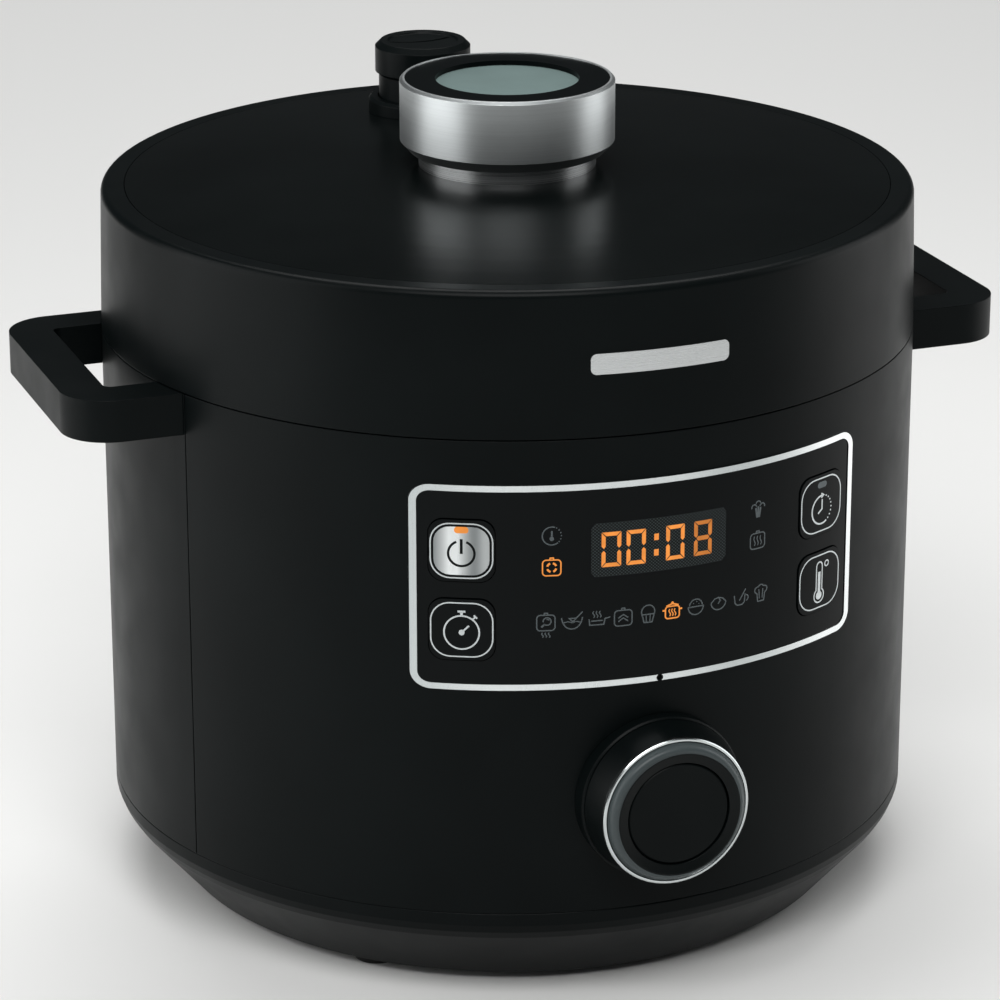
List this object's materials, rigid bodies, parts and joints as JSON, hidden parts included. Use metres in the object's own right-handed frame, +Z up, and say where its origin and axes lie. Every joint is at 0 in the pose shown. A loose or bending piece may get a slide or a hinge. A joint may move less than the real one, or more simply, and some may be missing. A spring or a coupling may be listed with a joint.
{
  "type": "electric pressure cooker",
  "caption": "Round electric pressure cooker with a lift-off lid locked by a turning centre knob, side handles, curved control panel and a dial with a push button.",
  "frame": {"origin": "on the surface the feet stand on, under the middle of the cooking pot", "axes": "+Z up along the pot's axis, -Y towards the control panel, handles at -X and +X"},
  "size_m": [0.3432, 0.3214, 0.2878],
  "materials": {
    "housing_black": "fine satin",
    "lid_black": "fine satin",
    "cover_black": "semi-gloss",
    "inner_black": "matt",
    "foot_rubber": "matt",
    "screw_steel": "plain",
    "steel": "brushed",
    "sensor_metal": "turned",
    "cast_plate": "turned",
    "element_dark": "dark",
    "part_grey": "plain",
    "display_white": "plain",
    "board_green": "lacquered",
    "chrome": "bright",
    "lens_black": "gloss",
    "pin_brass": "plated",
    "wire_red": "matt",
    "pot_coating": "non-stick",
    "liner_grey": "matt",
    "silicone": "matt",
    "knob_silver": "satin",
    "knob_black": "satin",
    "knob_grey": "satin",
    "float_red": "plain",
    "dial_grey": "satin",
    "dial_black": "satin",
    "power_silver": "brushed",
    "button_black": "gloss",
    "cup_smoke": "smoked"
  },
  "bodies": {
    "base": {"base_shell": "housing_black", "bottom_cover": "inner_black", "feet": "foot_rubber", "bottom_screws": "screw_steel", "front_housing": "housing_black", "rear_housing": "housing_black", "top_rim": "inner_black", "locking_collar": "steel", "left_handle": "housing_black", "right_handle": "housing_black", "handle_screws": "screw_steel", "heat_chamber": "steel", "chamber_brackets": "steel", "heating_plate": "cast_plate", "heating_element": "element_dark", "thermal_fuse": "part_grey", "pressure_switch": "part_grey", "power_board": "board_green", "power_parts": "part_grey", "display_board": "board_green", "display_module": "display_white", "button_boards": "board_green", "tact_switches": "part_grey", "dial_encoder": "part_grey", "panel_carrier": "inner_black", "panel_frame": "chrome", "panel_lens": "lens_black", "dial_collar": "housing_black", "inlet_socket": "inner_black", "inlet_pins": "pin_brass", "wiring": "wire_red"},
    "plate_sensor": {"temperature_sensor": "sensor_metal"},
    "inner_pot": {"inner_pot": "pot_coating"},
    "lid": {"lid_shell": "lid_black", "lid_top_cover": "cover_black", "name_plate": "chrome", "lid_liner": "liner_grey", "pressure_lid": "steel", "gasket": "silicone", "vent_pipe": "steel", "filter_cap": "steel", "valve_collar": "housing_black", "knob_base": "knob_silver", "lid_posts": "screw_steel"},
    "knob_lock": {"knob_body": "knob_silver", "knob_ring": "knob_black", "knob_disc": "knob_grey", "knob_shaft": "steel", "lock_ring": "steel"},
    "valve_weight": {"valve_core": "element_dark"},
    "valve_cap": {"valve_cap": "housing_black"},
    "float_valve": {"float_pin": "float_red"},
    "dial": {"dial_knob": "dial_grey", "dial_ring": "chrome"},
    "start_button": {"start_button": "dial_black"},
    "power_button": {"power_button": "power_silver"},
    "timer_button": {"timer_button": "button_black"},
    "delay_button": {"delay_button": "button_black"},
    "temperature_button": {"temperature_button": "button_black"},
    "condensation_cup": {"condensation_cup": "cup_smoke"}
  },
  "joints": [
    {"name": "pot_lift", "type": "slide", "parent": "base", "child": "inner_pot", "axis": [0, 0, 1], "range_m": [0, 0.16]},
    {"name": "lid_lift", "type": "slide", "parent": "inner_pot", "child": "lid", "axis": [0, 0, 1], "range_m": [0, 0.12]},
    {"name": "knob_turn", "type": "hinge", "parent": "lid", "child": "knob_lock", "pos_m": [0, 0, 0.26], "axis": [0, 0, 1], "range_deg": [0, 30]},
    {"name": "valve_turn", "type": "hinge", "parent": "lid", "child": "valve_weight", "pos_m": [0, 0.0888, 0.26], "axis": [0, 0, 1], "range_deg": [0, 60]},
    {"name": "valve_cap_pull", "type": "slide", "parent": "valve_weight", "child": "valve_cap", "axis": [0, 0, 1], "range_m": [0, 0.03]},
    {"name": "float_rise", "type": "slide", "parent": "lid", "child": "float_valve", "axis": [0, 0, 1], "range_m": [0, 0.005]},
    {"name": "dial_turn", "type": "hinge", "parent": "base", "child": "dial", "pos_m": [0, -0.15, 0.0763], "axis": [0, -1, 0], "continuous": true},
    {"name": "start_press", "type": "slide", "parent": "dial", "child": "start_button", "axis": [0, 1, 0], "range_m": [0, 0.0015], "stiffness_N_per_m": 1500},
    {"name": "power_press", "type": "slide", "parent": "base", "child": "power_button", "axis": [0.4446, 0.8957, 0], "range_m": [0, 0.001], "stiffness_N_per_m": 1500},
    {"name": "timer_press", "type": "slide", "parent": "base", "child": "timer_button", "axis": [0.4446, 0.8957, 0], "range_m": [0, 0.001], "stiffness_N_per_m": 1500},
    {"name": "delay_press", "type": "slide", "parent": "base", "child": "delay_button", "axis": [-0.4446, 0.8957, 0], "range_m": [0, 0.001], "stiffness_N_per_m": 1500},
    {"name": "temperature_press", "type": "slide", "parent": "base", "child": "temperature_button", "axis": [-0.4446, 0.8957, 0], "range_m": [0, 0.001], "stiffness_N_per_m": 1500},
    {"name": "cup_lift", "type": "slide", "parent": "base", "child": "condensation_cup", "axis": [0, 0, 1], "range_m": [0, 0.08]},
    {"name": "sensor_press", "type": "slide", "parent": "base", "child": "plate_sensor", "axis": [0, 0, -1], "range_m": [0, 0.002], "stiffness_N_per_m": 800, "springref_m": -0.002}
  ]
}
